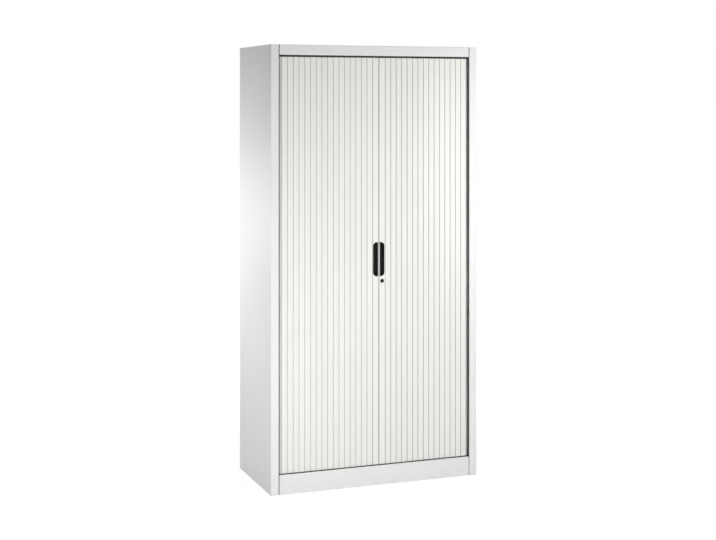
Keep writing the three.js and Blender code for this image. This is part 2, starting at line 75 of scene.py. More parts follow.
camera_data = bpy.data.cameras.new("camera")
camera_data.sensor_width = SENSOR_WIDTH
camera_data.lens = FOCAL_PX * SENSOR_WIDTH / PICTURE_WIDTH_PX
camera_data.shift_y = -HORIZON_ABOVE_CENTRE_PX / PICTURE_WIDTH_PX
camera_data.clip_start = NEAREST
camera_data.clip_end = FARTHEST
camera = bpy.data.objects.new("camera", camera_data)
camera.location = CAMERA_PLACE
camera.rotation_euler = (math.pi / 2, 0, CAMERA_TURN)
bpy.context.scene.collection.objects.link(camera)
bpy.context.scene.camera = camera
print("lens:", round(camera_data.lens, 2), "mm, shift:", round(camera_data.shift_y, 4))

# %% [markdown]
# ## Small helpers for node trees
# A material or a group is a graph. These helpers add a node with its settings in one line and
# link it up, so that each recipe below stays short enough to read. A Mix node carries a set of
# sockets for every kind of data, so its colour sockets are named here by their numbers.

# %% Node helpers
FLOAT, VECTOR, COLOUR = "NodeSocketFloat", "NodeSocketVector", "NodeSocketColor"
FIRST_COLOUR, SECOND_COLOUR, MIXED_COLOUR = 6, 7, 2


def feed(tree, socket, value):
    """Link a socket to the value, or set the value on it."""
    if isinstance(value, bpy.types.NodeSocket):
        tree.links.new(value, socket)
    else:
        socket.default_value = value


def add_node(tree, kind, values=None, **settings):
    """Add a node with its settings, and feed the sockets that are named or numbered."""
    node = tree.nodes.new(kind)
    for name, value in settings.items():
        setattr(node, name, value)
    for name, value in (values or {}).items():
        feed(tree, node.inputs[name], value)
    return node


def maths(tree, operation, first, second, clamp=False):
    node = add_node(tree, "ShaderNodeMath", {0: first, 1: second},
                    operation=operation, use_clamp=clamp)
    return node.outputs[0]


def ramp(tree, value, low, high, to_low=0.0, to_high=1.0):
    """Map the value from low..high to to_low..to_high, held at the ends."""
    node = add_node(tree, "ShaderNodeMapRange", {
        "Value": value, "From Min": low, "From Max": high, "To Min": to_low, "To Max": to_high})
    return node.outputs[0]


def mix_colour(tree, share, first, second, blend="MIX"):
    node = add_node(tree, "ShaderNodeMix", {0: share, FIRST_COLOUR: first, SECOND_COLOUR: second},
                    data_type="RGBA", blend_type=blend)
    return node.outputs[MIXED_COLOUR]


def joined(tree, kind, *parts):
    """A node that takes its parts in the order of its sockets, such as Mix Shader."""
    node = add_node(tree, kind)
    for socket, part in zip(node.inputs, parts):
        feed(tree, socket, part)
    return node.outputs[0]


def stretched(tree, vector, scale):
    node = add_node(tree, "ShaderNodeMapping", {"Vector": vector, "Scale": scale})
    return node.outputs[0]


def noise(tree, vector, scale, detail):
    """Soft cloudy noise around 0.5, finer as the scale grows."""
    node = add_node(tree, "ShaderNodeTexNoise", {
        "Vector": vector, "Scale": scale, "Detail": detail})
    return node.outputs[0]


print("node helpers ready")

# %% Group helpers
def new_group(name, inputs, outputs):
    """A node group with named sockets: inputs {name: (type, default)}, outputs {name: type}."""
    group = bpy.data.node_groups.new(name, "ShaderNodeTree")
    for label, (kind, default) in inputs.items():
        socket = group.interface.new_socket(label, in_out="INPUT", socket_type=kind)
        if default is not None:
            socket.default_value = default
    for label, kind in outputs.items():
        group.interface.new_socket(label, in_out="OUTPUT", socket_type=kind)
    entry, end = add_node(group, "NodeGroupInput"), add_node(group, "NodeGroupOutput")
    return group, entry.outputs, end.inputs


def group_outputs(tree, group, values):
    return add_node(tree, "ShaderNodeGroup", values, node_tree=group).outputs


print("group helpers ready")

# %% [markdown]
# ## Effects shared by the finishes
# Powder coat is melted plastic dust: up close it has a fine orange-peel skin. Extruded plastic
# carries long, faint die lines. Every sheet also varies a little in shade and holds some dust
# near the floor. Each effect is built once as a group, and every material sets its own values.

# %% Group: orange-peel skin
WAVE_SCALE_SHARE = 0.12

peel_group, peel_in, peel_out = new_group(
    "orange_peel",
    {"Vector": (VECTOR, None), "Scale": (FLOAT, 600.0), "Waviness": (FLOAT, 0.4)},
    {"Height": FLOAT})
fine_peel = noise(peel_group, peel_in["Vector"], peel_in["Scale"], detail=2.0)
wave_scale = maths(peel_group, "MULTIPLY", peel_in["Scale"], WAVE_SCALE_SHARE)
wide_peel = noise(peel_group, peel_in["Vector"], wave_scale, detail=1.0)
wide_part = maths(peel_group, "MULTIPLY", wide_peel, peel_in["Waviness"])
peel_group.links.new(maths(peel_group, "ADD", fine_peel, wide_part), peel_out["Height"])
print("group:", peel_group.name)

# %% Group: die lines of extruded plastic
STREAK_SCALE_SHARE = 0.06
STREAK_RANGE = (0.3, 0.7)

lines_group, lines_in, lines_out = new_group(
    "die_lines",
    {"Vector": (VECTOR, None), "Scale": (FLOAT, 900.0), "Stretch": (FLOAT, 0.01)},
    {"Height": FLOAT, "Streak": FLOAT})
line_axes = add_node(lines_group, "ShaderNodeCombineXYZ", {
    "X": 1.0, "Y": 1.0, "Z": lines_in["Stretch"]})
line_space = add_node(lines_group, "ShaderNodeVectorMath", {
    0: lines_in["Vector"], 1: line_axes.outputs[0]}, operation="MULTIPLY").outputs[0]
fine_lines = noise(lines_group, line_space, lines_in["Scale"], detail=2.0)
streak_scale = maths(lines_group, "MULTIPLY", lines_in["Scale"], STREAK_SCALE_SHARE)
streaks = noise(lines_group, line_space, streak_scale, detail=1.0)
lines_group.links.new(fine_lines, lines_out["Height"])
lines_group.links.new(ramp(lines_group, streaks, *STREAK_RANGE), lines_out["Streak"])
print("group:", lines_group.name)

# %% Group: shade that drifts over a large face, and dust near the floor
DUST_COLOUR = (0.46, 0.44, 0.40, 1.0)
DUST_TOP = 0.10
DRIFT_SCALE, SPECKLE_SCALE = 2.3, 55.0
SPECKLE_RANGE = (0.35, 0.75)
NOISE_MIDDLE = 0.5

drift_group, drift_in, drift_out = new_group(
    "shade_drift",
    {"Vector": (VECTOR, None), "Colour": (COLOUR, (0.8, 0.8, 0.8, 1.0)),
     "Drift": (FLOAT, 0.03), "Dust": (FLOAT, 0.1)},
    {"Colour": COLOUR, "Dust": FLOAT})
wide_noise = noise(drift_group, drift_in["Vector"], DRIFT_SCALE, detail=3.0)
shade = maths(drift_group, "SUBTRACT", wide_noise, NOISE_MIDDLE)
shade = maths(drift_group, "MULTIPLY", shade, drift_in["Drift"])
shade = maths(drift_group, "ADD", shade, 1.0)
grey = add_node(drift_group, "ShaderNodeCombineColor", {
    "Red": shade, "Green": shade, "Blue": shade})
drifted = mix_colour(drift_group, 1.0, drift_in["Colour"], grey.outputs[0], "MULTIPLY")
height_above = add_node(drift_group, "ShaderNodeSeparateXYZ", {"Vector": drift_in["Vector"]})
near_floor = ramp(drift_group, height_above.outputs["Z"], 0.0, DUST_TOP, 1.0, 0.0)
speckle = noise(drift_group, drift_in["Vector"], SPECKLE_SCALE, detail=5.0)
speckle = ramp(drift_group, speckle, *SPECKLE_RANGE)
dust = maths(drift_group, "MULTIPLY", near_floor, speckle)
dust = maths(drift_group, "MULTIPLY", dust, drift_in["Dust"], clamp=True)
drift_group.links.new(
    mix_colour(drift_group, dust, drifted, DUST_COLOUR), drift_out["Colour"])
drift_group.links.new(dust, drift_out["Dust"])
print("group:", drift_group.name)

# %% Group: rub marks, fine upright scratches on hard finishes
RUB_STRETCH = (1.0, 1.0, 0.12)
RUB_RANGE = (0.60, 0.66)

rub_group, rub_in, rub_out = new_group(
    "rub_marks",
    {"Vector": (VECTOR, None), "Scale": (FLOAT, 60.0), "Amount": (FLOAT, 0.2)},
    {"Mask": FLOAT})
rub_space = stretched(rub_group, rub_in["Vector"], RUB_STRETCH)
rub_noise = noise(rub_group, rub_space, rub_in["Scale"], detail=6.0)
rub_sharp = ramp(rub_group, rub_noise, *RUB_RANGE)
rub_group.links.new(maths(rub_group, "MULTIPLY", rub_sharp, rub_in["Amount"]), rub_out["Mask"])
print("group:", rub_group.name)

# %% [markdown]
# ## The finishes
# Each material is one Principled shader. Plain numbers sit on the shader's own sockets, and
# only what changes over the surface is wired in: colour, roughness and the bumps.

# %% Start of every material
def new_material(name, **plain):
    material = bpy.data.materials.new(name)
    material.use_nodes = True
    tree = material.node_tree
    shader = tree.nodes["Principled BSDF"]
    for label, value in plain.items():
        shader.inputs[label.replace("_", " ")].default_value = value
    place = add_node(tree, "ShaderNodeTexCoord").outputs["Object"]
    return material, tree, shader, place


def bump(tree, shader, height, depth, strength):
    node = add_node(tree, "ShaderNodeBump", {
        "Height": height, "Distance": depth, "Strength": strength})
    tree.links.new(node.outputs[0], shader.inputs["Normal"])


print("material helpers ready")

# %% [markdown]
# ### Powder-coated sheet steel
# The body is pale grey-white powder coat: satin, with a very fine skin. A light clear layer
# gives the soft edge highlights that folded and painted sheet shows.

# %% Material: powder coat
STEEL_COLOUR = (0.800, 0.812, 0.808, 1.0)
SKIN_RANGE, STEEL_ROUGHNESS = (0.4, 1.0), (0.40, 0.50)
DUST_ROUGHENS = 0.4
PEEL_DEPTH = 0.04 * MM


def powder_coat(name, colour, dust):
    material, tree, shader, place = new_material(
        name, Specular_IOR_Level=0.45, Coat_Weight=0.08, Coat_Roughness=0.3)
    skin = group_outputs(tree, peel_group, {"Vector": place, "Scale": 700.0, "Waviness": 0.5})
    tone = group_outputs(tree, drift_group, {
        "Vector": place, "Colour": colour, "Drift": 0.05, "Dust": dust})
    marks = group_outputs(tree, rub_group, {"Vector": place, "Scale": 45.0, "Amount": 0.06})
    tree.links.new(tone["Colour"], shader.inputs["Base Color"])
    rough = ramp(tree, skin["Height"], *SKIN_RANGE, *STEEL_ROUGHNESS)
    dull = maths(tree, "MULTIPLY", tone["Dust"], DUST_ROUGHENS)
    rough = maths(tree, "ADD", rough, dull)
    tree.links.new(maths(tree, "ADD", rough, marks["Mask"]), shader.inputs["Roughness"])
    bump(tree, shader, skin["Height"], PEEL_DEPTH, strength=0.5)
    return material


steel_paint = powder_coat("powder_coat", STEEL_COLOUR, dust=0.10)
inside_paint = powder_coat("powder_coat_inside", STEEL_COLOUR, dust=0.05)
print("materials:", steel_paint.name, inside_paint.name)

# %% [markdown]
# ### Extruded plastic of the slats and lead rails
# The slats are a warmer white than the steel. Die lines run along them, and shade is painted
# into the grooves between one slat and the next, darkest where the two lead rails meet.
# A groove is found from the distance across the leaf, so the painted shade follows the slats
# whatever their number.

# %% Material: slats and rails
SLAT_COLOUR = (0.850, 0.840, 0.805, 1.0)
RAIL_COLOUR = (0.850, 0.842, 0.812, 1.0)
GROOVE_PAINTED_SHADE = (0.38, 0.37, 0.34, 1.0)
MEETING_PAINTED_SHADE = (0.22, 0.21, 0.195, 1.0)
SLAT_PITCH, RAIL_PITCH = 27 * MM, 31 * MM
GROOVE_HALF, MEETING_HALF = 1.8 * MM, 2.2 * MM
SLAT_ROUGHNESS = (0.38, 0.48)
DIE_LINE_DEPTH = 0.03 * MM


# Painted shade: a band of darker colour on every groove stands in for the shade that falls there.
def painted_groove_shade(tree, place, paint, line, pitch, half, shade_share, shade):
    """Shade the paint along every line that lies a whole number of pitches from the first."""
    across = add_node(tree, "ShaderNodeSeparateXYZ", {"Vector": place}).outputs["X"]
    to_line = maths(tree, "PINGPONG", maths(tree, "SUBTRACT", across, line), pitch / 2)
    return mix_colour(tree, ramp(tree, to_line, half / 2, half, shade_share, 0.0), paint, shade)


def extruded_plastic(name, colour, grooves):
    material, tree, shader, place = new_material(
        name, Specular_IOR_Level=0.5, Coat_Weight=0.05, Coat_Roughness=0.25)
    lines = group_outputs(tree, lines_group, {
        "Vector": place, "Scale": 900.0, "Stretch": 0.004})
    paint = group_outputs(tree, drift_group, {
        "Vector": place, "Colour": colour, "Drift": 0.04, "Dust": 0.05})["Colour"]
    for groove in grooves:
        paint = painted_groove_shade(tree, place, paint, *groove)
    tree.links.new(paint, shader.inputs["Base Color"])
    rough = ramp(tree, lines["Streak"], 0.0, 1.0, *SLAT_ROUGHNESS)
    tree.links.new(rough, shader.inputs["Roughness"])
    bump(tree, shader, lines["Height"], DIE_LINE_DEPTH, strength=0.6)
    return material


# Painted shade in the grooves: the right leaf gets more than the left, since the light comes from
# the left, and the meeting line of the rails gets the darkest.
LEFT_FIRST_JOINT, MEETING_LINE, RIGHT_FIRST_JOINT = -15 * MM, 16 * MM, 47 * MM
LEFT_SHADE_SHARE, RIGHT_SHADE_SHARE, RAIL_SHADE_SHARE = 0.72, 0.98, 1.0
left_slat_plastic = extruded_plastic("slat_plastic_left", SLAT_COLOUR, [
    (LEFT_FIRST_JOINT, SLAT_PITCH, GROOVE_HALF, LEFT_SHADE_SHARE, GROOVE_PAINTED_SHADE)])
right_slat_plastic = extruded_plastic("slat_plastic_right", SLAT_COLOUR, [
    (RIGHT_FIRST_JOINT, SLAT_PITCH, GROOVE_HALF, RIGHT_SHADE_SHARE, GROOVE_PAINTED_SHADE)])
rail_plastic = extruded_plastic("rail_plastic", RAIL_COLOUR, [
    (MEETING_LINE, RAIL_PITCH, GROOVE_HALF, RAIL_SHADE_SHARE, GROOVE_PAINTED_SHADE),
    (MEETING_LINE, 2 * RAIL_PITCH, MEETING_HALF, RAIL_SHADE_SHARE, MEETING_PAINTED_SHADE)])
print("materials:", left_slat_plastic.name, right_slat_plastic.name, rail_plastic.name)

# %% [markdown]
# ### Black mouldings
# Grips and lock are black moulded plastic with a fine spark-eroded grain. The track is a
# duller black, and the slats that run in it have rubbed it a little paler in places.

# %% Material: black plastics
BLACK = (0.012, 0.013, 0.0125, 1.0)
# Under the fascia the track's black lip is drawn taller than the real one, so its black is partly
# the real track and partly painted shade below the fascia.
TRACK_BLACK = (0.022, 0.022, 0.020, 1.0)
RUBBED_BLACK = (0.09, 0.09, 0.085, 1.0)
GRAIN_RANGE, GRAIN_DEPTH = (0.3, 0.9), 0.06 * MM


def black_plastic(name, colour, roughness, grain_scale, rubbed, shine=0.5):
    material, tree, shader, place = new_material(name, Specular_IOR_Level=shine)
    grain = group_outputs(tree, peel_group, {
        "Vector": place, "Scale": grain_scale, "Waviness": 0.2})
    tone = group_outputs(tree, drift_group, {
        "Vector": place, "Colour": colour, "Drift": 0.3, "Dust": 0.2})
    marks = group_outputs(tree, rub_group, {"Vector": place, "Scale": 80.0, "Amount": rubbed})
    paler = mix_colour(tree, marks["Mask"], tone["Colour"], RUBBED_BLACK)
    tree.links.new(paler, shader.inputs["Base Color"])
    rough = ramp(tree, grain["Height"], *GRAIN_RANGE, *roughness)
    tree.links.new(rough, shader.inputs["Roughness"])
    bump(tree, shader, grain["Height"], GRAIN_DEPTH, strength=0.8)
    return material


grip_plastic = black_plastic(
    "grip_plastic", BLACK, (0.38, 0.50), grain_scale=2200.0, rubbed=0.12, shine=0.15)
lock_plastic = black_plastic(
    "lock_plastic", BLACK, (0.16, 0.24), grain_scale=2600.0, rubbed=0.2)
track_plastic = black_plastic(
    "track_plastic", TRACK_BLACK, (0.5, 0.7), grain_scale=1200.0, rubbed=0.3)
print("materials:", grip_plastic.name, lock_plastic.name, track_plastic.name)

# %% [markdown]
# ### Black strip of painted shadow
# A black strip stands in the joint behind each front post, from the floor to the top. It is
# painted shadow, put where the joint holds only shade. The shader is fully rough, with a fine
# bump, a few paler specks and a little fuzz at grazing angles.

# %% Material: black strip of painted shadow
# Painted shadow: a near-black colour for the shade in the joint beside each post.
SHADOW_STRIP_COLOUR = (0.040, 0.040, 0.040, 1.0)
SHADOW_STRIP_SPECK_COLOUR = (0.080, 0.080, 0.078, 1.0)
STRIP_SPECK_RANGE, STRIP_BUMP_DEPTH = (0.5, 1.1), 0.3 * MM


def painted_shadow_black(name):
    material, tree, shader, place = new_material(
        name, Roughness=0.95, Specular_IOR_Level=0.1, Sheen_Weight=0.1, Sheen_Roughness=0.6)
    strip_grain = group_outputs(tree, peel_group, {
        "Vector": place, "Scale": 3000.0, "Waviness": 0.6})
    strip_specks = ramp(tree, strip_grain["Height"], *STRIP_SPECK_RANGE)
    black = mix_colour(tree, strip_specks, SHADOW_STRIP_COLOUR, SHADOW_STRIP_SPECK_COLOUR)
    tree.links.new(black, shader.inputs["Base Color"])
    bump(tree, shader, strip_grain["Height"], STRIP_BUMP_DEPTH, strength=1.0)
    return material


shadow_strip_paint = painted_shadow_black("painted_shadow_black")
print("material:", shadow_strip_paint.name)

# %% [markdown]
# ### Zinc plate
# Lock works and feet are bright zinc on steel. Fresh zinc is slightly blue, with a faint
# yellow bloom, and its shine is broken by fine drawing lines.

# %% Material: zinc plate
BLUE_ZINC, YELLOW_ZINC = (0.60, 0.62, 0.65, 1.0), (0.68, 0.66, 0.58, 1.0)
ZINC_ROUGHNESS = (0.22, 0.38)
BLOOM_SCALE, BLOOM_RANGE = 90.0, (0.4, 0.7)
DRAWING_LINE_DEPTH = 0.02 * MM


def zinc(name):
    material, tree, shader, place = new_material(name, Metallic=1.0)
    lines = group_outputs(tree, lines_group, {"Vector": place, "Scale": 2500.0, "Stretch": 0.1})
    bloom = ramp(tree, noise(tree, place, BLOOM_SCALE, detail=3.0), *BLOOM_RANGE)
    tint = mix_colour(tree, bloom, BLUE_ZINC, YELLOW_ZINC)
    tree.links.new(tint, shader.inputs["Base Color"])
    rough = ramp(tree, lines["Streak"], 0.0, 1.0, *ZINC_ROUGHNESS)
    tree.links.new(rough, shader.inputs["Roughness"])
    bump(tree, shader, lines["Height"], DRAWING_LINE_DEPTH, strength=0.5)
    return material


zinc_plate = zinc("zinc_plate")
print("material:", zinc_plate.name)

# %% [markdown]
# ## Dress the CAD pieces
# The record names a finish for every solid. A solid keeps its shape and only takes the
# material that belongs to that finish. The slats take the plastic of their own leaf, and the
# sheets inside the cupboard a coat with less dust on it.

# %% Materials onto the CAD nodes
inside_nodes = {"head_panel", "bottom_panel", "left_inner_wall", "right_inner_wall"}
finish_of_slot = {
    "carcass_steel": steel_paint,
    "track_plastic": track_plastic,
    "rail_plastic": rail_plastic,
    "grip_plastic": grip_plastic,
    "lock_black": lock_plastic,
    "zinc_plate": zinc_plate,
}
slot_of_node = {row["node"]: row["material_slot"] for row in frame["record"]["subparts"]}
for name, node in nodes.items():
    slot = slot_of_node[name]
    if slot == "slat_plastic":
        finish = left_slat_plastic if name.startswith("left") else right_slat_plastic
    elif name in inside_nodes or name.startswith("shelf"):
        finish = inside_paint
    else:
        finish = finish_of_slot[slot]
    node.data.materials.clear()
    node.data.materials.append(finish)
print("finishes given to", len(nodes), "nodes")

# %% [markdown]
# ## New pieces: how they are made
# Moulded and turned parts get their character from rounded edges, so these are rebuilt with
# bmesh operators over the CAD solids that they stand for. A turned part starts as a few points
# of its outline and is spun round its axis. Every piece is merged, its faces are turned
# outwards, and it rides on the CAD body that carries it. Edges that turn by less than 35
# degrees are shaded smooth, and the sharper ones stay crisp.

# %% Helpers that find and round
FACING = 0.99
X_AXIS, Y_AXIS, Z_AXIS = Vector((1, 0, 0)), Vector((0, 1, 0)), Vector((0, 0, 1))


def faces_towards(bm, direction):
    return [face for face in bm.faces if face.normal.dot(direction) > FACING]


def edges_where(bm, test):
    return [edge for edge in bm.edges if test(edge)]


def round_edges(bm, edges, radius, segments):
    bmesh.ops.bevel(bm, geom=edges, offset=radius, offset_type="OFFSET", segments=segments,
                    profile=0.5, affect="EDGES", clamp_overlap=True, material=-1)


facing_angle = math.degrees(math.acos(FACING))
print("a face counts as looking along a direction within", round(facing_angle, 1), "degrees")

# %% Helpers that spin and finish
SMOOTH_BELOW = math.radians(35)
SAME_PLACE = 0.002 * MM


def merge_and_turn_outwards(bm):
    bmesh.ops.remove_doubles(bm, verts=bm.verts, dist=SAME_PLACE)
    bmesh.ops.recalc_face_normals(bm, faces=bm.faces)


def finish_piece(bm, name, material, body, stands_for=()):
    merge_and_turn_outwards(bm)
    mesh = bpy.data.meshes.new(name)
    bm.to_mesh(mesh)
    bm.free()
    mesh.shade_smooth()
    mesh.set_sharp_from_angle(angle=SMOOTH_BELOW)
    mesh.materials.append(material)
    piece = bpy.data.objects.new(name, mesh)
    bpy.context.scene.collection.objects.link(piece)
    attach(piece, body)
    if stands_for:
        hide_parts(*stands_for)
    loose_edges = sum(1 for edge in mesh.edges if edge.is_loose)
    print(name, "faces:", len(mesh.polygons), "loose edges:", loose_edges)


def spun(bm, outline, centre, axis, steps):
    """Spin an outline of (radius, distance along the axis) round an axis through the centre.

    With use_merge, the last step of a full turn closes on the first."""
    points = [bm.verts.new(centre + X_AXIS * radius + axis * along)
              for radius, along in outline]
    links = [bm.edges.new(pair) for pair in zip(points, points[1:])]
    bmesh.ops.spin(bm, geom=points + links, cent=centre, axis=axis, dvec=(0, 0, 0),
                   angle=math.tau, steps=steps, use_merge=True, use_duplicate=False)


print("points closer than", SAME_PLACE, "m become one")

# %% [markdown]
# ### Grip cups
# Each leaf has a black moulded cup let into its lead rail: straight towards the meeting line,
# with big round corners on the other side, and a recess for the fingertips. It starts as a
# thin plate with its corners rounded. The front face is then pulled through a list of smaller
# outlines: round the lip, across the land, down the wall and round the foot of the recess. The
# back face is pulled out for the body of the cup. Every outline is fitted to its own box, so
# that the corners never fold over, and a narrow band beside each rounding keeps the flat faces
# flat when they are shaded smooth. The lip of the left cup reaches a little further out than
# its solid does, as in the photograph.

# %% Helpers that pull a face
ARC_STEPS = 4


def largest_face_towards(bm, direction):
    return max(faces_towards(bm, direction), key=lambda face: face.calc_area())


def pull_face(bm, face, box, inset, depth):
    """Pull a face out and fit its outline to the box (ranges along x and z) with an inset.

    The outline is scaled about its own middle and then moved to the middle of the box."""
    face = bmesh.ops.extrude_discrete_faces(bm, faces=[face])["faces"][0]
    (low_x, high_x), (low_z, high_z) = box
    along_x, along_z = [v.co.x for v in face.verts], [v.co.z for v in face.verts]
    start = Vector(((min(along_x) + max(along_x)) / 2, face.verts[0].co.y,
                    (min(along_z) + max(along_z)) / 2))
    change = ((high_x - low_x - 2 * inset) / (max(along_x) - min(along_x)), 1,
              (high_z - low_z - 2 * inset) / (max(along_z) - min(along_z)))
    bmesh.ops.scale(bm, vec=change, space=Matrix.Translation(-start), verts=face.verts)
    goal = Vector(((low_x + high_x) / 2, depth, (low_z + high_z) / 2))
    bmesh.ops.translate(bm, vec=goal - start, verts=face.verts)
    return face


def arc(radius):
    """Points of a quarter circle: how far across, and how far still to go."""
    turns = [math.pi / 2 * step / ARC_STEPS for step in range(ARC_STEPS + 1)]
    return [(radius * (1 - math.cos(turn)), radius * (1 - math.sin(turn))) for turn in turns]


print("a rounded edge is pulled in", ARC_STEPS, "steps")

# %% Grip cups
NEAR = 0.02 * MM
GRIP_CORNER, GRIP_SMALL_CORNER = 18 * MM, 3.4 * MM
CORNER_SEGMENTS, SMALL_CORNER_SEGMENTS = 12, 6
GRIP_RIM_DEPTH, GRIP_RIM, GRIP_WALL = 1.2 * MM, 1.5 * MM, 1.5 * MM
GRIP_RECESS = 13 * MM
LIP_WIDER = {"left": 2 * MM, "right": 0.0}
DRAFT, BAND = 0.4 * MM, 0.3 * MM
LIP_ROUND, FOOT_ROUND = 0.5 * MM, 2.0 * MM


def grip_cup(hand, side):
    low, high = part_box(f"{hand}_grip_cup")
    upright = (low.z, high.z)
    box = ((low.x, high.x), upright)
    wider = LIP_WIDER[hand]
    outer_x = (low.x - wider, high.x) if side < 0 else (low.x, high.x + wider)
    outer_box = (outer_x, upright)
    width, height = outer_x[1] - outer_x[0], high.z - low.z
    middle_depth = low.y + (LIP_ROUND + GRIP_RIM_DEPTH) / 2
    centre = Vector((sum(outer_x) / 2, middle_depth, sum(upright) / 2))
    bm = bmesh.new()
    bmesh.ops.create_cube(bm, size=1.0)
    bmesh.ops.scale(bm, vec=(width, GRIP_RIM_DEPTH - LIP_ROUND, height), verts=bm.verts)
    bmesh.ops.translate(bm, vec=centre, verts=bm.verts)
    for which, radius, segments in (
            (side, GRIP_CORNER, CORNER_SEGMENTS),
            (-side, GRIP_SMALL_CORNER, SMALL_CORNER_SEGMENTS)):
        corners = edges_where(bm, lambda e: abs(e.verts[0].co.y - e.verts[1].co.y) > NEAR
                              and (e.verts[0].co.x - centre.x) * which > 0
                              and abs(abs(e.verts[0].co.z - centre.z) - height / 2) < NEAR)
        round_edges(bm, corners, radius, segments)
    bm.normal_update()
    front, back = largest_face_towards(bm, -Y_AXIS), largest_face_towards(bm, Y_AXIS)
    opening, foot = GRIP_RIM + GRIP_WALL, low.y + GRIP_RECESS
    for across, depth in arc(LIP_ROUND)[1:]:
        front = pull_face(bm, front, outer_box, across, low.y + depth)
    front = pull_face(bm, front, outer_box, LIP_ROUND + BAND, low.y)
    for depth, across in arc(LIP_ROUND):
        front = pull_face(bm, front, box, opening - across, low.y + depth)
    front = pull_face(bm, front, box, opening + DRAFT, foot - FOOT_ROUND - BAND)
    for across, depth in arc(FOOT_ROUND):
        front = pull_face(bm, front, box, opening + DRAFT + across, foot - depth)
    pull_face(bm, front, box, opening + DRAFT + FOOT_ROUND + BAND, foot)
    back = pull_face(bm, back, box, GRIP_RIM, low.y + GRIP_RIM_DEPTH)
    pull_face(bm, back, box, GRIP_RIM + DRAFT, high.y)
    finish_piece(bm, f"{hand}_grip", grip_plastic, f"{hand}_lead",
                 [f"{hand}_grip_cup"])


for hand, side in (("left", -1), ("right", 1)):
    grip_cup(hand, side)

# %% [markdown]
# ### Lock
# A round black cap holds a turning core with a key slot. The cap is spun from its outline.
# The core is spun too, and then its end face is cut along the slot's sides and the middle is
# pushed in, which leaves a real slot. A Boolean would cut one as well, but the mesh that comes
# from plain cuts is cleaner.

# %% Lock cap
cap_low, cap_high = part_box("lock_housing")
LOCK_CENTRE = Vector(((cap_low.x + cap_high.x) / 2, 0, (cap_low.z + cap_high.z) / 2))
CAP_RADIUS, BARREL_RADIUS, CAP_BORE = 9 * MM, 7.5 * MM, 4.8 * MM
CAP_HEAD, CAP_ROUND = 2 * MM, 1.6 * MM
CORE_ROUND = 0.4 * MM
FINE_STEPS = 40

bm = bmesh.new()
front, rear = cap_low.y, cap_high.y
outer_lip = [(CAP_RADIUS - across, front + depth) for depth, across in arc(CAP_ROUND)]
spun(bm, [(CAP_BORE, rear), (CAP_BORE, front + CORE_ROUND), (CAP_BORE + CORE_ROUND, front),
          *outer_lip, (CAP_RADIUS, front + CAP_HEAD), (BARREL_RADIUS, front + CAP_HEAD),
          (BARREL_RADIUS, rear), (CAP_BORE, rear)],
     LOCK_CENTRE, Y_AXIS, FINE_STEPS)
finish_piece(bm, "lock_cap", lock_plastic, "right_lead", ["lock_housing"])

# %% Slot cutter
def cut_slot(bm, centre, direction, sides, depth):
    """Cut an end face along a slot's four sides and push the middle in.

    Each of the two sides is an axis and half the slot's size along it. The operator that cuts
    is given the end's faces with their edges and corners, each once."""
    for axis, half in sides:
        for sign in (-1, 1):
            end = faces_towards(bm, direction)
            around = dict.fromkeys(
                part for face in end for part in (*face.verts, *face.edges, face))
            bmesh.ops.bisect_plane(bm, geom=list(around), dist=SAME_PLACE,
                                   plane_co=centre + axis * half * sign, plane_no=axis)
            bm.normal_update()
    middle = [face for face in faces_towards(bm, direction)
              if all(abs((face.calc_center_median() - centre).dot(axis)) < half
                     for axis, half in sides)]
    bmesh.ops.inset_region(bm, faces=middle, thickness=NEAR, depth=-depth, use_even_offset=True)


print("slot cutter ready")

# %% Lock core
core_low, core_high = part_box("lock_core")
CORE_RADIUS, CORE_HEAD_RADIUS, CORE_HEAD = 4.5 * MM, 6.5 * MM, 2 * MM
SLOT_HALF_WIDTH, SLOT_HALF_HEIGHT, SLOT_DEPTH = 0.8 * MM, 3 * MM, 3 * MM

bm = bmesh.new()
tip, tail = core_low.y + CORE_ROUND, core_high.y
spun(bm, [(0, tip), (CORE_RADIUS - CORE_ROUND, tip), (CORE_RADIUS, tip + CORE_ROUND),
          (CORE_RADIUS, tail - CORE_HEAD), (CORE_HEAD_RADIUS, tail - CORE_HEAD),
          (CORE_HEAD_RADIUS, tail), (0, tail)],
     LOCK_CENTRE, Y_AXIS, FINE_STEPS)
merge_and_turn_outwards(bm)
cut_slot(bm, LOCK_CENTRE + Y_AXIS * tip, -Y_AXIS,
         [(Z_AXIS, SLOT_HALF_HEIGHT), (X_AXIS, SLOT_HALF_WIDTH)], SLOT_DEPTH)
finish_piece(bm, "lock_plug", lock_plastic, "lock_bolt", ["lock_core"])

# %% [markdown]
# ### Levelling feet
# Each foot is a pad on a threaded stem, with a screwdriver slot in the top end so that it can
# be set from inside the cupboard. The thread is a saw-tooth outline that is spun into rings: a
# true helix would look the same at this size and need many more faces. A hexagonal nut locks
# the stem under its bush.

# %% Levelling foot
PAD_RADIUS, PAD_TOP, STEM_RADIUS = 16 * MM, 7 * MM, 5 * MM
PAD_ROUND, THREAD_PITCH, THREAD_DEPTH = 1.5 * MM, 1.5 * MM, 0.6 * MM
THREAD_FROM, NECK = 10 * MM, 3 * MM
PLAIN_STEPS = 24
FOOT_SLOT_HALF_LENGTH, FOOT_SLOT_HALF_WIDTH, FOOT_SLOT_DEPTH = 3.04 * MM, 1 * MM, 3 * MM


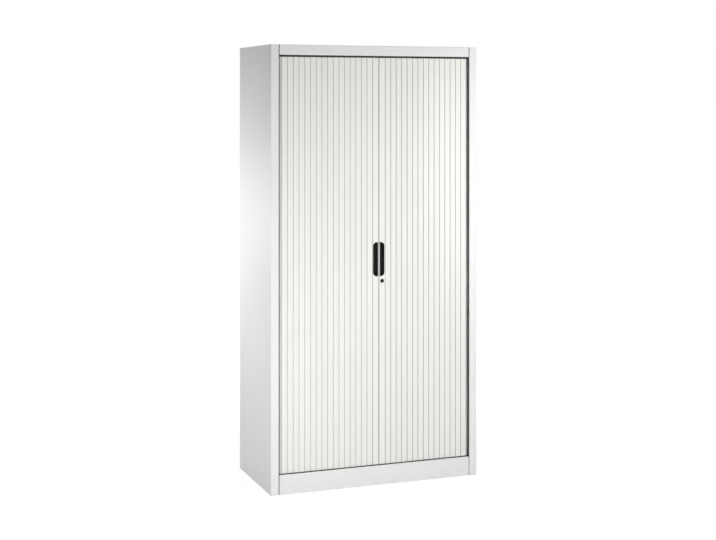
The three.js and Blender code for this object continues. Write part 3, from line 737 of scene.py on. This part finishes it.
def levelling_foot(name):
    low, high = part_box(name)
    turns = int((high.z - PAD_ROUND - THREAD_FROM) / THREAD_PITCH)
    outline = [(0, low.z), (PAD_RADIUS - PAD_ROUND, low.z), (PAD_RADIUS, low.z + PAD_ROUND),
               (PAD_RADIUS, PAD_TOP - PAD_ROUND), (PAD_RADIUS - PAD_ROUND, PAD_TOP),
               (STEM_RADIUS + NECK, PAD_TOP), (STEM_RADIUS - THREAD_DEPTH, THREAD_FROM)]
    for turn in range(turns):
        crest = THREAD_FROM + (turn + 0.5) * THREAD_PITCH
        outline += [(STEM_RADIUS, crest), (STEM_RADIUS - THREAD_DEPTH, crest + THREAD_PITCH / 2)]
    outline += [(STEM_RADIUS - THREAD_DEPTH, high.z), (0, high.z)]
    place = Vector(((low.x + high.x) / 2, (low.y + high.y) / 2, 0))
    bm = bmesh.new()
    spun(bm, outline, place, Z_AXIS, PLAIN_STEPS)
    merge_and_turn_outwards(bm)
    cut_slot(bm, place + Z_AXIS * high.z, Z_AXIS,
             [(X_AXIS, FOOT_SLOT_HALF_LENGTH), (Y_AXIS, FOOT_SLOT_HALF_WIDTH)], FOOT_SLOT_DEPTH)
    finish_piece(bm, f"{name}_screw", zinc_plate, name, [name])
    return place


print("thread:", THREAD_PITCH, "m from crest to crest")

# %% Lock nut
NUT_SIDES, NUT_RADIUS, NUT_BORE, NUT_HEIGHT = 6, 9.5 * MM, 6.2 * MM, 5 * MM
NUT_GAP = 0.3 * MM
NUT_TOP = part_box("bottom_panel")[0].z - NUT_GAP
NUT_CORNER_ANGLE, NUT_CORNER_ROUND, NUT_CORNER_SEGMENTS = 1.0, 0.5 * MM, 2


def lock_nut(name, place):
    bm = bmesh.new()
    bmesh.ops.create_cone(bm, cap_ends=True, segments=NUT_SIDES, radius1=NUT_RADIUS,
                          radius2=NUT_RADIUS, depth=NUT_HEIGHT)
    bmesh.ops.translate(bm, vec=place + Z_AXIS * (NUT_TOP - NUT_HEIGHT / 2), verts=bm.verts)
    bm.normal_update()
    ends = [largest_face_towards(bm, Z_AXIS), largest_face_towards(bm, -Z_AXIS)]
    bmesh.ops.inset_individual(bm, faces=ends, thickness=NUT_RADIUS - NUT_BORE)
    rims = [edge for face in ends for edge in face.edges]
    bmesh.ops.delete(bm, geom=ends, context="FACES_ONLY")
    bmesh.ops.bridge_loops(bm, edges=rims)
    corners = edges_where(bm, lambda e: len(e.link_faces) == 2
                          and e.calc_face_angle(0) > NUT_CORNER_ANGLE
                          and e.verts[0].co.z != e.verts[1].co.z)
    round_edges(bm, corners, NUT_CORNER_ROUND, NUT_CORNER_SEGMENTS)
    finish_piece(bm, name, zinc_plate, "carcass")


print("top of the nuts:", round(NUT_TOP, 4), "m above the floor")

# %% Feet and nuts in their places
for row in ("front", "rear"):
    for hand in ("left", "right"):
        foot_place = levelling_foot(f"foot_{row}_{hand}")
        lock_nut(f"foot_nut_{row}_{hand}", foot_place)

# %% [markdown]
# ### Rivets
# The back panel is held by blind rivets through the folds of the side panels. A blind rivet
# shows a low dome with a small hollow where the mandrel broke off. One outline is spun at
# every place, and all the heads are one piece, which is easier to handle than sixteen.

# %% Back rivets
RIVET_RADIUS, RIVET_HEIGHT, RIVET_HOLLOW = 3.2 * MM, 1.1 * MM, 1.0 * MM
RIVET_IN_FOLD, RIVET_FIRST, RIVET_COUNT, RIVET_STEPS = 7.5 * MM, 90 * MM, 8, 16
RIVET_OUTLINE = [
    (0, -RIVET_HEIGHT / 2), (RIVET_RADIUS, -RIVET_HEIGHT / 2),
    (RIVET_RADIUS, RIVET_HEIGHT / 3), (RIVET_RADIUS * 0.7, RIVET_HEIGHT * 0.85),
    (RIVET_HOLLOW, RIVET_HEIGHT), (RIVET_HOLLOW * 0.8, RIVET_HEIGHT / 3), (0, RIVET_HEIGHT / 4)]

side_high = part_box("right_side_panel")[1]
rivet_gap = (side_high.z - 2 * RIVET_FIRST) / (RIVET_COUNT - 1)
bm = bmesh.new()
for side in (-1, 1):
    for number in range(RIVET_COUNT):
        spot = Vector((side * (side_high.x - RIVET_IN_FOLD), 0, RIVET_FIRST + number * rivet_gap))
        spun(bm, [(radius, side_high.y + along) for radius, along in RIVET_OUTLINE],
             spot, Y_AXIS, RIVET_STEPS)
finish_piece(bm, "back_rivets", zinc_plate, "carcass")

# %% [markdown]
# ### Strips of painted shadow
# One strip stands against the inner edge of each front post. It is a plain bar with soft
# front edges, and it fills the joint between the post and the fascia, slats and plinth: its
# black is painted shadow where the joint is in shade. On a strip this narrow the bump of its
# material is enough.

# %% Strips of painted shadow
STRIP_WIDTH, STRIP_DEPTH, STRIP_GAP = 2.5 * MM, 3.9 * MM, 0.25 * MM
STRIP_SETBACK, STRIP_END_GAP, STRIP_ROUND, STRIP_SEGMENTS = 0.9 * MM, 1.5 * MM, 0.5 * MM, 3
SEAM = 3 * MM

plinth_low, plinth_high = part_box("plinth")
top_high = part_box("top_panel")[1]
strip_x = plinth_high.x + SEAM - STRIP_GAP - STRIP_WIDTH / 2
strip_front = plinth_low.y + STRIP_SETBACK
strip_length = top_high.z - 2 * STRIP_END_GAP
# Each strip paints the shadow in the joint between its post and the slats.
for hand, side in (("left", -1), ("right", 1)):
    middle = Vector((side * strip_x, strip_front + STRIP_DEPTH / 2, top_high.z / 2))
    bm = bmesh.new()
    bmesh.ops.create_cube(bm, size=1.0)
    bmesh.ops.scale(bm, vec=(STRIP_WIDTH, STRIP_DEPTH, strip_length), verts=bm.verts)
    bmesh.ops.translate(bm, vec=middle, verts=bm.verts)
    front_edges = edges_where(bm, lambda e: all(v.co.y < strip_front + NEAR for v in e.verts)
                              and abs(e.verts[0].co.z - e.verts[1].co.z) > STRIP_DEPTH)
    round_edges(bm, front_edges, STRIP_ROUND, STRIP_SEGMENTS)
    finish_piece(bm, f"painted_shadow_strip_{hand}", shadow_strip_paint, "carcass")

# %% [markdown]
# ## The studio
# A pale floor, a white surround and a few wide, soft lamps. What the camera and mirror-like
# surfaces see of the surround is plain white, while the light that it sheds is set apart, so
# that the cupboard isn't washed out. The floor glows for the camera and in reflections, and
# still shows the soft shadow at the foot of the cupboard. The lamps in front and behind leave
# no highlight of their own: seen at a flat angle they would burn out the side panels, and the
# white surround already gives the paint its sheen.

# %% World
WORLD_LIGHT = 0.05
WHITE = (1.0, 1.0, 1.0, 1.0)

world = bpy.data.worlds.new("studio")
bpy.context.scene.world = world
world.use_nodes = True
sky = world.node_tree
sky.nodes.clear()
seen = add_node(sky, "ShaderNodeLightPath").outputs
plain_view = maths(sky, "MAXIMUM", seen["Is Camera Ray"], seen["Is Transmission Ray"])
plain_view = maths(sky, "MAXIMUM", plain_view, seen["Is Glossy Ray"])
shed = add_node(sky, "ShaderNodeBackground", {"Color": WHITE, "Strength": WORLD_LIGHT})
shown = add_node(sky, "ShaderNodeBackground", {"Color": WHITE, "Strength": 1.0})
chosen = joined(sky, "ShaderNodeMixShader", plain_view, shed.outputs[0], shown.outputs[0])
add_node(sky, "ShaderNodeOutputWorld", {"Surface": chosen})
print("world light:", WORLD_LIGHT)

# %% Floor
FLOOR_SIDE = 40.0

floor_mesh = bmesh.new()
bmesh.ops.create_grid(floor_mesh, x_segments=1, y_segments=1, size=FLOOR_SIDE / 2)
floor_data = bpy.data.meshes.new("floor")
floor_mesh.to_mesh(floor_data)
floor_mesh.free()
floor = bpy.data.objects.new("floor", floor_data)
bpy.context.scene.collection.objects.link(floor)
print("floor side:", FLOOR_SIDE, "m")

# %% Floor paint
FLOOR_GREY, GLOWING_GREY = (0.78, 0.78, 0.78, 1.0), (0.30, 0.30, 0.30, 1.0)
GLOW_FROM, GLOW_TO, GLOW_NEAR, GLOW_FAR = 0.8, 2.0, 0.80, 1.0

floor_paint = bpy.data.materials.new("floor_paint")
floor_paint.use_nodes = True
tree = floor_paint.node_tree
tree.nodes.clear()
rays = add_node(tree, "ShaderNodeLightPath").outputs
direct_view = maths(tree, "MAXIMUM", rays["Is Camera Ray"], rays["Is Glossy Ray"])
matt = add_node(tree, "ShaderNodeBsdfDiffuse", {"Color": FLOOR_GREY})
thin = add_node(tree, "ShaderNodeBsdfDiffuse", {"Color": GLOWING_GREY})
here = add_node(tree, "ShaderNodeTexCoord").outputs["Object"]
away = add_node(tree, "ShaderNodeVectorMath", {0: here}, operation="LENGTH").outputs["Value"]
# Painted light: full glow far from the cupboard hides how the lamps fall off, and a weaker glow
# near it lets the real shadow show round its foot.
glow_strength = ramp(tree, away, GLOW_FROM, GLOW_TO, GLOW_NEAR, GLOW_FAR)
glow = add_node(tree, "ShaderNodeEmission", {"Color": WHITE, "Strength": glow_strength})
glowing = joined(tree, "ShaderNodeAddShader", thin.outputs[0], glow.outputs[0])
chosen = joined(tree, "ShaderNodeMixShader", direct_view, matt.outputs[0], glowing)
add_node(tree, "ShaderNodeOutputMaterial", {"Surface": chosen})
floor_data.materials.append(floor_paint)
print("floor glow:", GLOW_NEAR, "to", GLOW_FAR, "between", GLOW_FROM, "and", GLOW_TO, "m")

# %% Lamps
NO_HIGHLIGHT = {"front_low", "near_left", "near_right", "high_right", "back_fill"}


def soft_lamp(name, place, aim, size, power):
    data = bpy.data.lights.new(name, "AREA")
    data.shape = "RECTANGLE"
    data.size, data.size_y = size
    data.energy = power
    lamp = bpy.data.objects.new(name, data)
    lamp.location = place
    lamp.rotation_euler = (Vector(aim) - Vector(place)).to_track_quat("-Z", "Y").to_euler()
    lamp.visible_glossy = name not in NO_HIGHLIGHT
    bpy.context.scene.collection.objects.link(lamp)


LAMPS = {
    "front_low": ((-0.3, -5.2, 0.3), (0.0, 0.0, 0.9), (1.2, 1.2), 42.0),
    "near_left": ((-1.2, -1.9, 0.7), (0.0, 0.0, 0.7), (0.8, 0.8), 19.0),
    "near_right": ((1.3, -1.9, 1.3), (0.0, 0.0, 1.3), (0.8, 0.8), 15.4),
    "high_right": ((1.3, -1.9, 1.7), (0.0, 0.0, 1.7), (0.8, 0.8), 12.0),
    "side_wide": ((-1.8, 0.4, 1.0), (0.0, 0.0, 1.0), (0.8, 0.8), 6.4),
    "side_close": ((-1.2, 0.3, 1.1), (0.0, 0.3, 1.1), (0.5, 0.5), 1.3),
    "side_back": ((-1.25, 0.9, 1.2), (0.0, 0.0, 1.2), (0.5, 0.5), 3.6),
    "back_fill": ((0.8, 3.4, 1.6), (0.0, 0.0, 1.0), (1.6, 1.6), 50.0),
    "top_front": ((0.0, -0.3, 3.4), (0.0, 0.0, 1.99), (1.2, 0.8), 6.0),
    "top_back": ((0.0, 0.6, 3.2), (0.0, 0.1, 1.99), (1.2, 0.8), 14.0),
    "side_right": ((3.2, 0.6, 1.4), (0.5, 0.0, 1.0), (1.4, 1.4), 15.0),
}
for name, (place, aim, size, power) in LAMPS.items():
    soft_lamp(name, place, aim, size, power)
print("lamps:", len(LAMPS))

# %% [markdown]
# Standard view transform shows colours as they are written.

# %% Finish
bpy.context.scene.view_settings.view_transform = "Standard"
